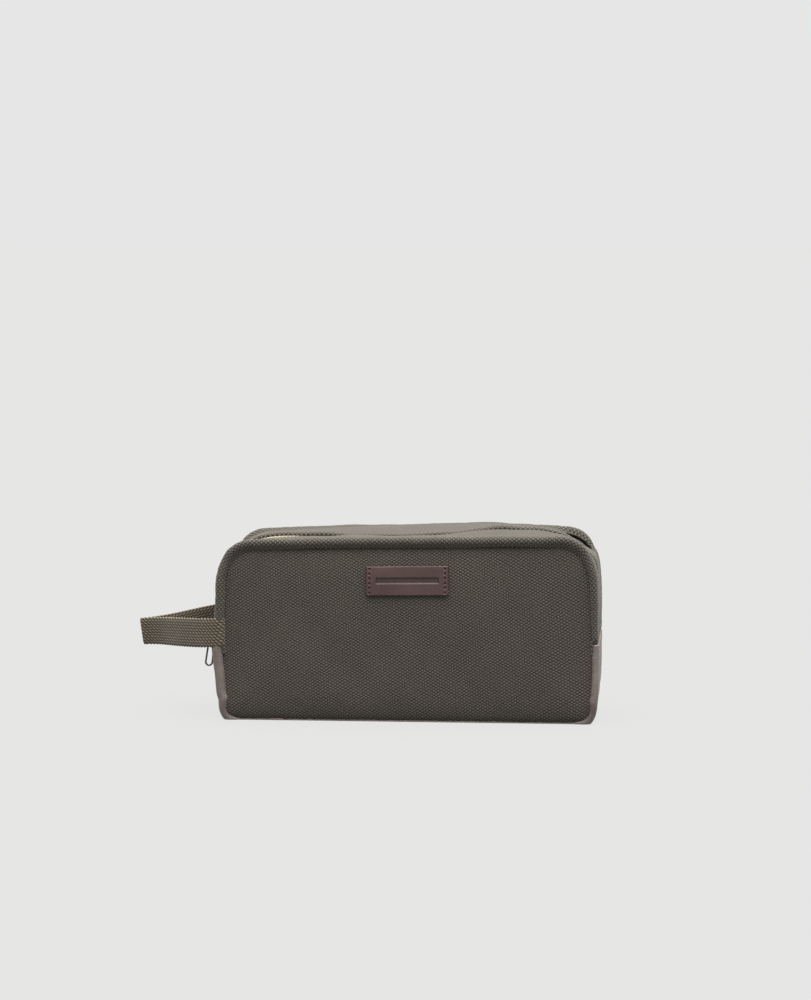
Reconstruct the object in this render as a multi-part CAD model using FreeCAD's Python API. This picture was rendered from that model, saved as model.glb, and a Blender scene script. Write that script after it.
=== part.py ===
import FreeCAD, Part
import math
import os

# A zipped canvas pouch with a leather base, a webbing loop and a wire zip pull.
# Millimetres. X runs along the bag, Y from front (-) to back (+), Z up.
# The origin is the centre of the flat underside.

os.makedirs("parts", exist_ok=True)
V = FreeCAD.Vector

# ---- bag body
LENGTH = 267.0
DEPTH = 84.0
HEIGHT = 128.0
TOP_RADIUS = 27.0
BASE_RADIUS = 20.0
EDGE_ROLL = 5.5  # radius of the gusset where it rolls round the front and rear seams
LEATHER_TOP = 55.0  # how far the leather base climbs up the two ends

# ---- plies, and the gaps between plies that move apart
SKIN = 1.4  # canvas and leather
FOAM = 1.2
TAPE = 0.5
LINING = 0.5
PLY_GAP = 0.3
SEAM_GAP = 0.3

# ---- zip
ZIP_SLOT = 10.0  # between the two canvas strips
TAPE_REACH = 17.0  # from the zip's centre line to the tape's sewn edge
TAPE_SPLIT = 2.4  # between the two tapes
TAPE_TAIL = 8.0  # tucked down behind the leather
TOOTH_PITCH = 2.6
TOOTH_HEIGHT = 1.0  # along the zip
TOOTH_THICK = 2.4
TOOTH_REACH = 3.2  # from the centre line back over the tape's edge
TOOTH_MESH = 0.6  # past the centre line
STOP_LENGTH = 1.6
STOP_JAW = 1.0
STOP_SPLIT = 0.3  # from the centre line to each stop

# ---- slider
SLIDER_LENGTH = 12.0
SLIDER_WIDTH = 9.0
SLIDER_TAIL_WIDTH = 7.6
SLIDER_PLATE = 1.1
SLIDER_ROOM = 0.3  # round the teeth, tapes and stops
SLIDER_LIFT = 2.0  # above the leather's top edge
DIVIDER_WIDTH = 2.0
DIVIDER_LENGTH = 3.0
BRIDGE_WIDTH = 2.2
BRIDGE_WIRE = 1.0
BRIDGE_RISE = 4.6
BRIDGE_LENGTH = 9.0

# ---- pull
LINK_WIRE = 1.1
LINK_WIDTH = 6.6
LINK_REACH = 7.1  # over its wire, from top to foot
LINK_LEAN = 38.0  # degrees, away from the bag
PULL_WIRE = 1.3
PULL_TOP_RADIUS = 1.7
PULL_FOOT_RADIUS = 2.35
PULL_REACH = 20.0  # between the centres of its two round ends
PULL_LEAN = 7.0  # degrees, away from the bag
PULL_PLAY = 0.12  # wire over the ring's bar
LINK_PLAY = 0.8  # ring above the bridge's foot
LINK_ROOM = 0.5  # ring under the bridge's top

# ---- webbing loop
WEBBING_WIDTH = 20.0
WEBBING_THICK = 1.5
WEBBING_BOTTOM = 52.0
WEBBING_REACH = 64.5  # from the seam to the folded tip
WEBBING_DROOP = 5.0  # degrees
WEBBING_TAIL = 8.0  # sewn inside the seam
WEBBING_ROOM = 0.3
FOLD_GAP = 0.8  # between the legs at the tip
PINCH_LENGTH = 16.0
LEG_BEND = 14.0
TIP_BEND = 8.0
LEG_STRAIGHT = 9.0  # before the leg turns in to the tip

# ---- label
LABEL_WIDTH = 57.0
LABEL_HEIGHT = 20.5
LABEL_THICK = 1.3
LABEL_CORNER = 1.2
LABEL_BOTTOM = 89.0
STITCHES = 6
STITCH_PITCH = 3.4
STITCH_LENGTH = 2.2
STITCH_WIDTH = 0.6
STITCH_THICK = 0.3
STITCH_INSET = 2.2

# ---- inside
BINDING_INSET = 1.0  # inside the seam outline
BINDING_THICK = 1.6
BINDING_DEPTH = 6.0
LINING_EDGE = 1.0
PLY_END = 6.0  # the end linings stop this far from the front and rear faces
POCKET_WIDTH = 190.0
POCKET_HEIGHT = 62.0
POCKET_THICK = 0.7
ELASTIC_WIDTH = 200.0
ELASTIC_HEIGHT = 25.0
ELASTIC_THICK = 1.0
ELASTIC_BOTTOM = 62.0
POCKET_BOTTOM = 12.0
TACKS = 7
TACK_THICK = 0.4

SEAM_X = LENGTH / 2 - EDGE_ROLL
FACE_Y = -DEPTH / 2  # outer face of the front panel
TAPE_INSET = SKIN + PLY_GAP
LINING_INSET = TAPE_INSET + TAPE + PLY_GAP
ZIP_INSET = TAPE_INSET + TAPE / 2  # the tapes' mid plane
ZIP_X = -LENGTH / 2 + ZIP_INSET  # the mid plane at the left end
SLIDER_Z = LEATHER_TOP + SLIDER_LIFT
BRIDGE_FOOT = (SLIDER_LENGTH - BRIDGE_LENGTH) / 2
CAVITY = TOOTH_THICK / 2 + SLIDER_ROOM
PLATE_TOP = CAVITY + SLIDER_PLATE
LINK_H = PLATE_TOP + BRIDGE_RISE - BRIDGE_WIRE - LINK_ROOM - LINK_WIRE / 2
LINK_X = ZIP_X - LINK_H
LINK_Z = SLIDER_Z + BRIDGE_FOOT + BRIDGE_WIRE + LINK_WIRE / 2 + LINK_PLAY
LINING_Y = FACE_Y + SKIN + FOAM  # outer face of the front lining
INNER_Y = LINING_Y + LINING


def save(name, shape):
    shape.exportStep("parts/" + name + ".step")


def box(x0, x1, y0, y1, z0, z1):
    return Part.makeBox(x1 - x0, y1 - y0, z1 - z0, V(x0, y0, z0))


def to_rear(shape):
    """The same shape mirrored from the front half to the rear half."""
    return shape.mirror(V(0, 0, 0), V(0, 1, 0))


def corner_arc(cx, cz, radius, start, y):
    """A quarter circle in the X-Z plane, from start degrees, turning anticlockwise."""
    points = []
    for step in (0, 45, 90):
        angle = math.radians(start + step)
        points.append(V(cx + radius * math.cos(angle), y, cz + radius * math.sin(angle)))
    return Part.Arc(*points).toShape()


def outline(inset, y):
    """The bag's rounded outline, moved inwards by inset, at depth y."""
    half = LENGTH / 2 - inset
    low = inset
    high = HEIGHT - inset
    top = TOP_RADIUS - inset
    base = BASE_RADIUS - inset
    edges = [
        Part.makeLine(V(-half + base, y, low), V(half - base, y, low)),
        corner_arc(half - base, low + base, base, -90, y),
        Part.makeLine(V(half, y, low + base), V(half, y, high - top)),
        corner_arc(half - top, high - top, top, 0, y),
        Part.makeLine(V(half - top, y, high), V(-half + top, y, high)),
        corner_arc(-half + top, high - top, top, 90, y),
        Part.makeLine(V(-half, y, high - top), V(-half, y, low + base)),
        corner_arc(-half + base, low + base, base, 180, y),
    ]
    return Part.Wire(edges)


def plate(inset, y0, y1):
    """A flat plate with the bag's outline, from y0 to y1."""
    return Part.Face(outline(inset, y0)).extrude(V(0, y1 - y0, 0))


def band(inset, thick, y0, y1):
    """A ring that follows the outline all the way round."""
    return plate(inset, y0, y1).cut(plate(inset + thick, y0, y1))


def pillow(inset):
    """The whole bag, moved inwards by inset, with its front and rear edges rolled."""
    solid = plate(inset, FACE_Y + inset, -FACE_Y - inset)
    rims = []
    for edge in solid.Edges:
        if edge.BoundBox.YLength < 0.001:
            rims.append(edge)
    return solid.makeFillet(EDGE_ROLL - inset, rims)


def gusset_skin():
    """The skin round the bag's edge, open at the front and rear panels."""
    skin = pillow(0).cut(pillow(SKIN))
    opening = plate(EDGE_ROLL, FACE_Y - 1, -FACE_Y + 1)
    return skin.cut(opening)


def above_leather(shape, y0, y1, extra=0.0):
    """What lies above the leather, between depths y0 and y1; extra reaches further down."""
    low = LEATHER_TOP + SEAM_GAP - extra
    return shape.common(box(-LENGTH, LENGTH, y0, y1, low, HEIGHT + 1))


def strap_slot(y0, y1, room=0.0):
    """The gap in the seam that the webbing passes through."""
    side = WEBBING_THICK + 2 * WEBBING_ROOM + room
    low = WEBBING_BOTTOM - 2 * WEBBING_ROOM
    high = WEBBING_BOTTOM + WEBBING_WIDTH + 2 * WEBBING_ROOM
    return box(-SEAM_X - 1, -SEAM_X + side, y0, y1, low, high)


# ---- walls

def panel():
    skin = plate(EDGE_ROLL + SEAM_GAP, FACE_Y, FACE_Y + SKIN)
    return skin.cut(strap_slot(FACE_Y - 1, INNER_Y + 1))


def interlining():
    foam = plate(EDGE_ROLL + LINING_EDGE, FACE_Y + SKIN, LINING_Y)
    return foam.cut(strap_slot(FACE_Y - 1, INNER_Y + 1))


def lining():
    cloth = plate(EDGE_ROLL + LINING_EDGE, LINING_Y, INNER_Y)
    return cloth.cut(strap_slot(FACE_Y - 1, INNER_Y + 1))


def seam_binding():
    start = INNER_Y + SEAM_GAP
    ring = band(EDGE_ROLL + BINDING_INSET, BINDING_THICK, start, start + BINDING_DEPTH)
    return ring.cut(strap_slot(start - 1, start + BINDING_DEPTH + 1, BINDING_THICK))


def zip_strip(skin):
    return above_leather(skin, FACE_Y - 1, -ZIP_SLOT / 2)


def zip_tape():
    ring = band(TAPE_INSET, TAPE, -TAPE_REACH, -TAPE_SPLIT / 2)
    return above_leather(ring, -DEPTH, 0, TAPE_TAIL)


def end_lining():
    ring = band(LINING_INSET, LINING, FACE_Y + PLY_END, -SLIDER_WIDTH / 2 - SLIDER_ROOM)
    return above_leather(ring, -DEPTH, 0)


def base_gusset(skin):
    return skin.common(box(-LENGTH, LENGTH, -DEPTH, DEPTH, -1, LEATHER_TOP))


def base_lining():
    ring = band(LINING_INSET, LINING, FACE_Y + PLY_END, -FACE_Y - PLY_END)
    return ring.common(box(-LENGTH, LENGTH, -DEPTH, DEPTH, -1, LEATHER_TOP))


# ---- zip

def zip_path(inset):
    """Lengths of the path's stretches: up the left end, corner, top, corner, right end."""
    rise = HEIGHT - TOP_RADIUS - LEATHER_TOP
    bend = (TOP_RADIUS - inset) * math.pi / 2
    run = LENGTH - 2 * TOP_RADIUS
    return rise, bend, run


def zip_place(distance):
    """The placement of a tooth at a distance along the zip, its own +Z along the zip."""
    rise, bend, run = zip_path(ZIP_INSET)
    radius = TOP_RADIUS - ZIP_INSET
    turn = min(max(distance - rise, 0), bend) / radius
    turn += min(max(distance - rise - bend - run, 0), bend) / radius
    if distance <= rise:
        x, z = ZIP_X, LEATHER_TOP + distance
    elif distance <= rise + bend:
        x = -LENGTH / 2 + TOP_RADIUS - radius * math.cos(turn)
        z = HEIGHT - TOP_RADIUS + radius * math.sin(turn)
    elif distance <= rise + bend + run:
        x = -run / 2 + distance - rise - bend
        z = HEIGHT - ZIP_INSET
    elif distance <= rise + 2 * bend + run:
        x = LENGTH / 2 - TOP_RADIUS + radius * math.sin(turn - math.pi / 2)
        z = HEIGHT - TOP_RADIUS + radius * math.cos(turn - math.pi / 2)
    else:
        x = -ZIP_X
        z = LEATHER_TOP + 2 * (rise + bend) + run - distance
    return FreeCAD.Placement(V(x, 0, z), FreeCAD.Rotation(V(0, 1, 0), math.degrees(turn)))


def teeth(first):
    """One row of teeth on the front tape, its first tooth at distance first along the zip."""
    rise, bend, run = zip_path(ZIP_INSET)
    last = 2 * (rise + bend) + run - STOP_LENGTH - 2 * SLIDER_ROOM - TOOTH_PITCH
    row = []
    for index in range(int((last - first) / TOOTH_PITCH) + 1):
        tooth = Part.makeBox(
            TOOTH_THICK,
            TOOTH_REACH + TOOTH_MESH,
            TOOTH_HEIGHT,
            V(-TOOTH_THICK / 2, -TOOTH_REACH, -TOOTH_HEIGHT / 2),
        )
        slot = Part.makeBox(
            TAPE + 0.02,
            TOOTH_REACH - TAPE_SPLIT / 2 + 1,
            TOOTH_HEIGHT + 1,
            V(-TAPE / 2 - 0.01, -TOOTH_REACH - 1, -TOOTH_HEIGHT / 2 - 0.5),
        )
        tooth = tooth.cut(slot)
        tooth.Placement = zip_place(first + index * TOOTH_PITCH)
        row.append(tooth)
    return Part.makeCompound(row)


def stop(side, x, z):
    """A metal stop crimped round one tape's edge, on side -1 or +1, open for the tape."""
    half = TAPE / 2 + PLY_GAP
    jaw = box(-half - STOP_JAW, half + STOP_JAW, -TOOTH_REACH, -STOP_SPLIT, 0, STOP_LENGTH)
    gap = box(-half, half, -TOOTH_REACH - 1, -TAPE_SPLIT / 2 + PLY_GAP, -1, STOP_LENGTH + 1)
    clip = jaw.cut(gap)
    if side > 0:
        clip = to_rear(clip)
    clip.translate(V(x, 0, z))
    return clip


def top_stops():
    z = SLIDER_Z - STOP_LENGTH - SLIDER_ROOM
    return Part.makeCompound([stop(-1, ZIP_X, z), stop(1, ZIP_X, z)])


def bottom_stop():
    z = LEATHER_TOP + 2 * SEAM_GAP
    bar = box(-TAPE / 2, TAPE / 2, -STOP_SPLIT, STOP_SPLIT, 0, STOP_LENGTH)
    bar.translate(V(-ZIP_X, 0, z))
    return stop(-1, -ZIP_X, z).fuse([stop(1, -ZIP_X, z), bar])


# ---- slider and pull, drawn with h outwards from the zip's mid plane and w up from its foot

def slider_plate(h0, h1):
    half = SLIDER_WIDTH / 2
    tail = SLIDER_TAIL_WIDTH / 2
    points = [
        V(h0, -half, 0),
        V(h0, half, 0),
        V(h0, half, SLIDER_LENGTH * 0.5),
        V(h0, tail, SLIDER_LENGTH),
        V(h0, -tail, SLIDER_LENGTH),
        V(h0, -half, SLIDER_LENGTH * 0.5),
    ]
    solid = Part.Face(Part.makePolygon(points + points[:1])).extrude(V(h1 - h0, 0, 0))
    upright = []
    for edge in solid.Edges:
        if edge.BoundBox.YLength < 0.001 and edge.BoundBox.ZLength < 0.001:
            upright.append(edge)
    return solid.makeFillet(1.2, upright)


def slider():
    wall = TOOTH_REACH + SLIDER_ROOM
    body = slider_plate(-PLATE_TOP, PLATE_TOP)
    channel = box(-CAVITY, CAVITY, -wall, wall, -1, SLIDER_LENGTH + 1)
    slit = TAPE / 2 + PLY_GAP
    side_slits = box(-slit, slit, -SLIDER_WIDTH, SLIDER_WIDTH, -1, SLIDER_LENGTH + 1)
    body = body.cut(channel).cut(side_slits)
    divider = box(
        -CAVITY - 0.2, CAVITY + 0.2, -DIVIDER_WIDTH / 2, DIVIDER_WIDTH / 2, 0, DIVIDER_LENGTH
    )
    return body.fuse([divider, bridge()])


def bridge():
    foot = PLATE_TOP - 0.2
    head = PLATE_TOP + BRIDGE_RISE
    arch = box(
        foot, head, -BRIDGE_WIDTH / 2, BRIDGE_WIDTH / 2,
        BRIDGE_FOOT, BRIDGE_FOOT + BRIDGE_LENGTH,
    )
    hole = box(
        foot - 1, head - BRIDGE_WIRE, -BRIDGE_WIDTH, BRIDGE_WIDTH,
        BRIDGE_FOOT + BRIDGE_WIRE, BRIDGE_FOOT + BRIDGE_LENGTH - BRIDGE_WIRE,
    )
    arch = arch.makeFillet(2.4, bridge_corners(arch, head))
    hole = hole.makeFillet(1.4, bridge_corners(hole, head - BRIDGE_WIRE))
    return arch.cut(hole)


def bridge_corners(solid, head):
    """The two edges across the bridge at its outermost face."""
    found = []
    for edge in solid.Edges:
        size = edge.BoundBox
        if size.ZLength < 0.001 and size.XLength < 0.001 and size.XMax > head - 0.001:
            found.append(edge)
    return found


def place_on_zip(shape):
    """From h, y, w to the bag's frame: h points to -X at the left end."""
    turned = shape.mirror(V(0, 0, 0), V(1, 0, 0))
    turned.translate(V(ZIP_X, 0, SLIDER_Z))
    return turned


def loop_wire(top, foot, top_radius, foot_radius, across):
    """A closed loop round two circles, joined by their outer tangents; across is its width axis."""
    down = foot - top
    reach = down.Length
    down.normalize()
    lean = math.asin((foot_radius - top_radius) / reach)
    edges = []
    ends = []
    for side in (-1, 1):
        out = across * (side * math.cos(lean)) - down * math.sin(lean)
        ends.append((top + out * top_radius, foot + out * foot_radius))
    edges.append(Part.Arc(ends[0][0], top - down * top_radius, ends[1][0]).toShape())
    edges.append(Part.makeLine(ends[1][0], ends[1][1]))
    edges.append(Part.Arc(ends[1][1], foot + down * foot_radius, ends[0][1]).toShape())
    edges.append(Part.makeLine(ends[0][1], ends[0][0]))
    return Part.Wire(edges), ends[1][0], (ends[1][1] - ends[1][0])


def wire_ring(top, foot, top_radius, foot_radius, across, thick):
    """Round wire bent to a loop_wire."""
    path, start, along = loop_wire(top, foot, top_radius, foot_radius, across)
    section = Part.Wire(Part.Circle(start, along, thick / 2).toShape())
    return path.makePipeShell([section], True, False)


def link_way():
    """From the ring's top towards its foot."""
    lean = math.radians(LINK_LEAN)
    return V(-math.sin(lean), 0, -math.cos(lean))


def pull_link():
    radius = LINK_WIDTH / 2 - LINK_WIRE / 2
    head = V(LINK_X, 0, LINK_Z)
    top = head + link_way() * radius
    foot = head + link_way() * (LINK_REACH - radius)
    return wire_ring(top, foot, radius, radius, V(0, 1, 0), LINK_WIRE)


def wire_pull():
    bar = V(LINK_X, 0, LINK_Z) + link_way() * LINK_REACH
    seat = bar.z + LINK_WIRE / 2 + PULL_PLAY + PULL_WIRE / 2
    top = V(bar.x, 0, seat - PULL_TOP_RADIUS)
    lean = math.radians(PULL_LEAN)
    down = V(-math.sin(lean), 0, -math.cos(lean))
    across = V(math.cos(lean), 0, -math.sin(lean))
    foot = top + down * PULL_REACH
    return wire_ring(top, foot, PULL_TOP_RADIUS, PULL_FOOT_RADIUS, across, PULL_WIRE)


# ---- webbing loop

def turn_of(before, corner, after):
    """Signed turn at a corner, seen from above, in radians."""
    first = corner - before
    second = after - corner
    cross = first.x * second.y - first.y * second.x
    return math.atan2(cross, first.x * second.x + first.y * second.y)


def offset_corner(before, corner, after, side):
    """Where two runs meet once both are moved side millimetres to their left."""
    first = (corner - before).normalize()
    second = (after - corner).normalize()
    left_first = V(-first.y, first.x, 0)
    left_second = V(-second.y, second.x, 0)
    both = (left_first + left_second).normalize()
    return corner + both * (side / both.dot(left_first))


def offset_path(points, radii, side):
    """The points and radii of a rounded path moved side millimetres to its left."""
    moved = []
    new_radii = []
    for i in range(1, len(points) - 1):
        moved.append(offset_corner(points[i - 1], points[i], points[i + 1], side))
        bend = math.copysign(1, turn_of(points[i - 1], points[i], points[i + 1]))
        new_radii.append(radii[i - 1] - bend * side)
    first = (points[1] - points[0]).normalize()
    last = (points[-1] - points[-2]).normalize()
    start = points[0] + V(-first.y, first.x, 0) * side
    end = points[-1] + V(-last.y, last.x, 0) * side
    return [start] + moved + [end], new_radii


def rounded_edges(points, radii):
    """Lines joined by tangent arcs, through points, with a radius at each corner."""
    edges = []
    at = points[0]
    for i in range(1, len(points) - 1):
        into = (points[i] - points[i - 1]).normalize()
        out = (points[i + 1] - points[i]).normalize()
        angle = abs(turn_of(points[i - 1], points[i], points[i + 1]))
        cut = radii[i - 1] * math.tan(angle / 2)
        start = points[i] - into * cut
        end = points[i] + out * cut
        middle_way = (out - into).normalize()
        middle = points[i] + middle_way * (radii[i - 1] / math.cos(angle / 2) - radii[i - 1])
        edges.append(Part.makeLine(at, start))
        edges.append(Part.Arc(start, middle, end).toShape())
        at = end
    edges.append(Part.makeLine(at, points[-1]))
    return edges


def webbing_plan():
    """The middle line of the loop from above: out of the front seam, to the tip, and back."""
    tail_x = -SEAM_X + WEBBING_ROOM + WEBBING_THICK / 2
    leg_y = FACE_Y - WEBBING_ROOM - WEBBING_THICK / 2
    tip_x = -SEAM_X - WEBBING_REACH + WEBBING_THICK / 2
    pinch_y = -(FOLD_GAP + WEBBING_THICK) / 2
    front = [
        V(tail_x, leg_y + WEBBING_TAIL, 0),
        V(tail_x, leg_y, 0),
        V(-SEAM_X - LEG_STRAIGHT, leg_y, 0),
        V(tip_x + PINCH_LENGTH, pinch_y, 0),
        V(tip_x, pinch_y, 0),
    ]
    rear = [V(p.x, -p.y, 0) for p in reversed(front)]
    fold = -pinch_y * 0.99
    half = [WEBBING_THICK, LEG_BEND, TIP_BEND, fold]
    return front + rear, half + half[::-1]


def webbing_handle():
    points, radii = webbing_plan()
    near, near_radii = offset_path(points, radii, WEBBING_THICK / 2)
    far, far_radii = offset_path(points, radii, -WEBBING_THICK / 2)
    there = rounded_edges(near, near_radii)
    back = rounded_edges(far[::-1], far_radii[::-1])
    close_end = Part.makeLine(near[-1], far[-1])
    close_start = Part.makeLine(far[0], near[0])
    face = Part.Face(Part.Wire(there + [close_end] + back + [close_start]))
    face.rotate(V(-SEAM_X, 0, 0), V(0, 1, 0), -WEBBING_DROOP)
    face.translate(V(0, 0, WEBBING_BOTTOM))
    return face.extrude(V(0, 0, WEBBING_WIDTH))


# ---- label, pocket and elastic

def label():
    half = LABEL_WIDTH / 2
    patch = box(-half, half, FACE_Y - LABEL_THICK, FACE_Y, LABEL_BOTTOM, LABEL_BOTTOM + LABEL_HEIGHT)
    corners = []
    for edge in patch.Edges:
        if edge.BoundBox.XLength < 0.001 and edge.BoundBox.ZLength < 0.001:
            corners.append(edge)
    return patch.makeFillet(LABEL_CORNER, corners)


def label_stitching():
    face = FACE_Y - LABEL_THICK
    middle = LABEL_BOTTOM + LABEL_HEIGHT / 2
    stitches = []
    for side in (-1, 1):
        x = side * (LABEL_WIDTH / 2 - STITCH_INSET)
        for index in range(STITCHES):
            z = middle + (index - (STITCHES - 1) / 2) * STITCH_PITCH
            stitches.append(box(
                x - STITCH_WIDTH / 2, x + STITCH_WIDTH / 2, face - STITCH_THICK, face,
                z - STITCH_LENGTH / 2, z + STITCH_LENGTH / 2,
            ))
    return Part.makeCompound(stitches)


def slip_pocket():
    half = POCKET_WIDTH / 2
    return box(-half, half, INNER_Y, INNER_Y + POCKET_THICK, POCKET_BOTTOM, POCKET_BOTTOM + POCKET_HEIGHT)


def cable_elastic():
    """A flat elastic band on the rear lining, with a bar tack at each end of each loop."""
    half = ELASTIC_WIDTH / 2
    face = -INNER_Y - ELASTIC_THICK
    strip = box(-half, half, face, -INNER_Y, ELASTIC_BOTTOM, ELASTIC_BOTTOM + ELASTIC_HEIGHT)
    tacks = []
    for index in range(TACKS):
        x = (index / (TACKS - 1) - 0.5) * (ELASTIC_WIDTH - 2 * STITCH_LENGTH)
        tacks.append(box(
            x - STITCH_WIDTH, x + STITCH_WIDTH, face - TACK_THICK, face,
            ELASTIC_BOTTOM + STITCH_LENGTH, ELASTIC_BOTTOM + ELASTIC_HEIGHT - STITCH_LENGTH,
        ))
    return strip.fuse(tacks)


def write_walls(skin):
    """Every piece that the front and rear walls both have."""
    pieces = {
        "panel": panel(),
        "interlining": interlining(),
        "lining": lining(),
        "seam_binding": seam_binding(),
        "zip_gusset": zip_strip(skin),
        "gusset_lining": end_lining(),
    }
    for name, shape in pieces.items():
        save("front_" + name, shape)
        save("rear_" + name, to_rear(shape))


def write_zip():
    tape = zip_tape()
    save("zipper_tape_front", tape)
    save("zipper_tape_rear", to_rear(tape))
    first = SLIDER_LIFT + DIVIDER_LENGTH + SLIDER_ROOM + TOOTH_HEIGHT / 2
    save("zipper_teeth_front", teeth(first))
    save("zipper_teeth_rear", to_rear(teeth(first + TOOTH_PITCH / 2)))
    save("zipper_top_stops", top_stops())
    save("zipper_bottom_stop", bottom_stop())
    save("slider_body", place_on_zip(slider()))
    save("pull_link", pull_link())
    save("wire_pull", wire_pull())


def write_all():
    skin = gusset_skin()
    write_walls(skin)
    write_zip()
    save("base_gusset", base_gusset(skin))
    save("base_lining", base_lining())
    save("webbing_handle", webbing_handle())
    save("leather_label", label())
    save("label_stitching", label_stitching())
    save("slip_pocket", slip_pocket())
    save("cable_elastic", cable_elastic())


write_all()
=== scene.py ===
import math

import bpy
import numpy as np
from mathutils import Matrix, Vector


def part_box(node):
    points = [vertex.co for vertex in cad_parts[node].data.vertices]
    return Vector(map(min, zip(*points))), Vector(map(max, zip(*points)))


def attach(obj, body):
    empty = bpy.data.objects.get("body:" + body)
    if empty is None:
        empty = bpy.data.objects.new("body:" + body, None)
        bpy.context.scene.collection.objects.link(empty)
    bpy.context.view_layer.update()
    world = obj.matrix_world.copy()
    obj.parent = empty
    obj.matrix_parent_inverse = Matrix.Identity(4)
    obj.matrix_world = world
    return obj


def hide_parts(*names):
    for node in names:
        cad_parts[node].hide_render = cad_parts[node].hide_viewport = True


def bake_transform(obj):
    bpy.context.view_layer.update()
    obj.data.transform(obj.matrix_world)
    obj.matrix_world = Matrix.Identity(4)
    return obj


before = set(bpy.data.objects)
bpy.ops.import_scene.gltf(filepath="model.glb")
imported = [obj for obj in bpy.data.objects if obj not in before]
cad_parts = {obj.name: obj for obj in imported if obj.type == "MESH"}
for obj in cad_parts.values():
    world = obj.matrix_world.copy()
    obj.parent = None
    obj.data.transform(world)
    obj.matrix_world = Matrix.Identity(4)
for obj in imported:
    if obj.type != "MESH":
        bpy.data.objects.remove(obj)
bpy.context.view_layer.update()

# A zipped canvas pouch with a leather base, in metres: X along the bag, front at -Y, Z up.
# Every soft piece is sculpted here in code, on the CAD's outline.
MM = 0.001

# ---------------------------------------------------------------- sizes

gusset_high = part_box("base_gusset")[1]
label_low, label_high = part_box("leather_label")
strap_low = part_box("webbing_handle")[0]
pocket_low, pocket_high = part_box("slip_pocket")
elastic_low, elastic_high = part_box("cable_elastic")

DEEP = gusset_high.y  # half the depth
HALF = 133.5 * MM  # half the length
TALL = 128 * MM
LEATHER_TOP = gusset_high.z
TOP_RADIUS = 27 * MM
BASE_RADIUS = 20 * MM
SEAM_INSET = 5.5 * MM
SEAM_HALF = HALF - SEAM_INSET
SEAM_TOP = TALL - 3.9 * MM
SEAM_BASE = 0.1 * MM
SEAM_TOP_RADIUS = 22 * MM
SEAM_BASE_RADIUS = 14 * MM

CANVAS = 1.1 * MM
LEATHER = 1.3 * MM
ZIP_INSET = 1.95 * MM  # the teeth's middle, below the outline
LEAN = 0.133  # the bag stands this much taller per metre towards its right end

# ---------------------------------------------------------------- numeric helpers


def smooth(x, low, high):
    """0 below low, 1 above high, smooth between."""
    t = np.clip((x - low) / (high - low), 0.0, 1.0)
    return t * t * (3 - 2 * t)


def through(x, points):
    """A smooth curve through (place, value) points in mm, flat at its ends; x and result in metres."""
    places = np.array([p[0] for p in points], float) * MM
    values = np.array([p[1] for p in points], float) * MM
    slopes = np.gradient(values, places)
    slopes[0] = slopes[-1] = 0.0
    x = np.clip(x, places[0], places[-1])
    i = np.clip(np.searchsorted(places, x) - 1, 0, len(places) - 2)
    width = places[i + 1] - places[i]
    t = (x - places[i]) / width
    a = (1 + 2 * t) * (1 - t) ** 2 * values[i]
    b = t * (1 - t) ** 2 * width * slopes[i]
    c = t * t * (3 - 2 * t) * values[i + 1]
    d = t * t * (t - 1) * width * slopes[i + 1]
    return a + b + c + d


def wander(u, v, wave, seed):
    """Smooth irregular height, about -1 to 1, that changes over wave metres."""
    rng = np.random.default_rng(seed)
    total = np.zeros(np.broadcast(u, v).shape)
    for _ in range(6):
        angle = rng.uniform(0, 2 * math.pi)
        turn = 2 * math.pi / (wave * rng.uniform(0.7, 1.5))
        phase = rng.uniform(0, 2 * math.pi)
        total = total + np.sin(turn * (u * math.cos(angle) + v * math.sin(angle)) + phase)
    return total / 3.4


def spline(points, count):
    """count points evenly along a smooth curve through points."""
    points = np.array(points, float)
    ends = np.vstack([2 * points[0] - points[1], points, 2 * points[-1] - points[-2]])
    out = []
    for i in range(1, len(ends) - 2):
        t = np.linspace(0, 1, 24, endpoint=False)[:, None]
        p0, p1, p2, p3 = ends[i - 1:i + 3]
        out.append(0.5 * (2 * p1 + (p2 - p0) * t + (2 * p0 - 5 * p1 + 4 * p2 - p3) * t ** 2
                          + (3 * p1 - p0 - 3 * p2 + p3) * t ** 3))
    return evenly(np.vstack(out + [points[-1:]]), count)


def evenly(path, count):
    """count points at even steps along a path of points."""
    steps = lengths(path)
    even = np.linspace(0, steps[-1], count)
    return np.stack([np.interp(even, steps, path[:, k]) for k in range(path.shape[1])], axis=1)


def lengths(path):
    """Distance along a path at each of its points."""
    return np.concatenate([[0], np.cumsum(np.linalg.norm(np.diff(path, axis=0), axis=1))])


# ---------------------------------------------------------------- mesh builders


def new_mesh(name, vertices, faces, weave=None):
    """An object from vertices and faces, smooth shaded, with cloth coordinates in metres."""
    mesh = bpy.data.meshes.new(name)
    mesh.from_pydata(np.asarray(vertices).tolist(), [], [tuple(f) for f in faces])
    if weave is not None:
        layer = mesh.uv_layers.new(name="Weave")
        loops = np.zeros(len(mesh.loops), np.int32)
        mesh.loops.foreach_get("vertex_index", loops)
        layer.data.foreach_set("uv", np.asarray(weave, np.float32)[loops].ravel())
    mesh.shade_smooth()
    piece = bpy.data.objects.new(name, mesh)
    bpy.context.scene.collection.objects.link(piece)
    return piece


def grid_faces(rows, columns, wrap=False, start=0):
    """Quads of a rows by columns grid of vertices; wrap joins the last row to the first."""
    faces = []
    for i in range(rows if wrap else rows - 1):
        k = (i + 1) % rows
        for j in range(columns - 1):
            faces.append((start + i * columns + j, start + k * columns + j,
                          start + k * columns + j + 1, start + i * columns + j + 1))
    return faces


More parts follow.
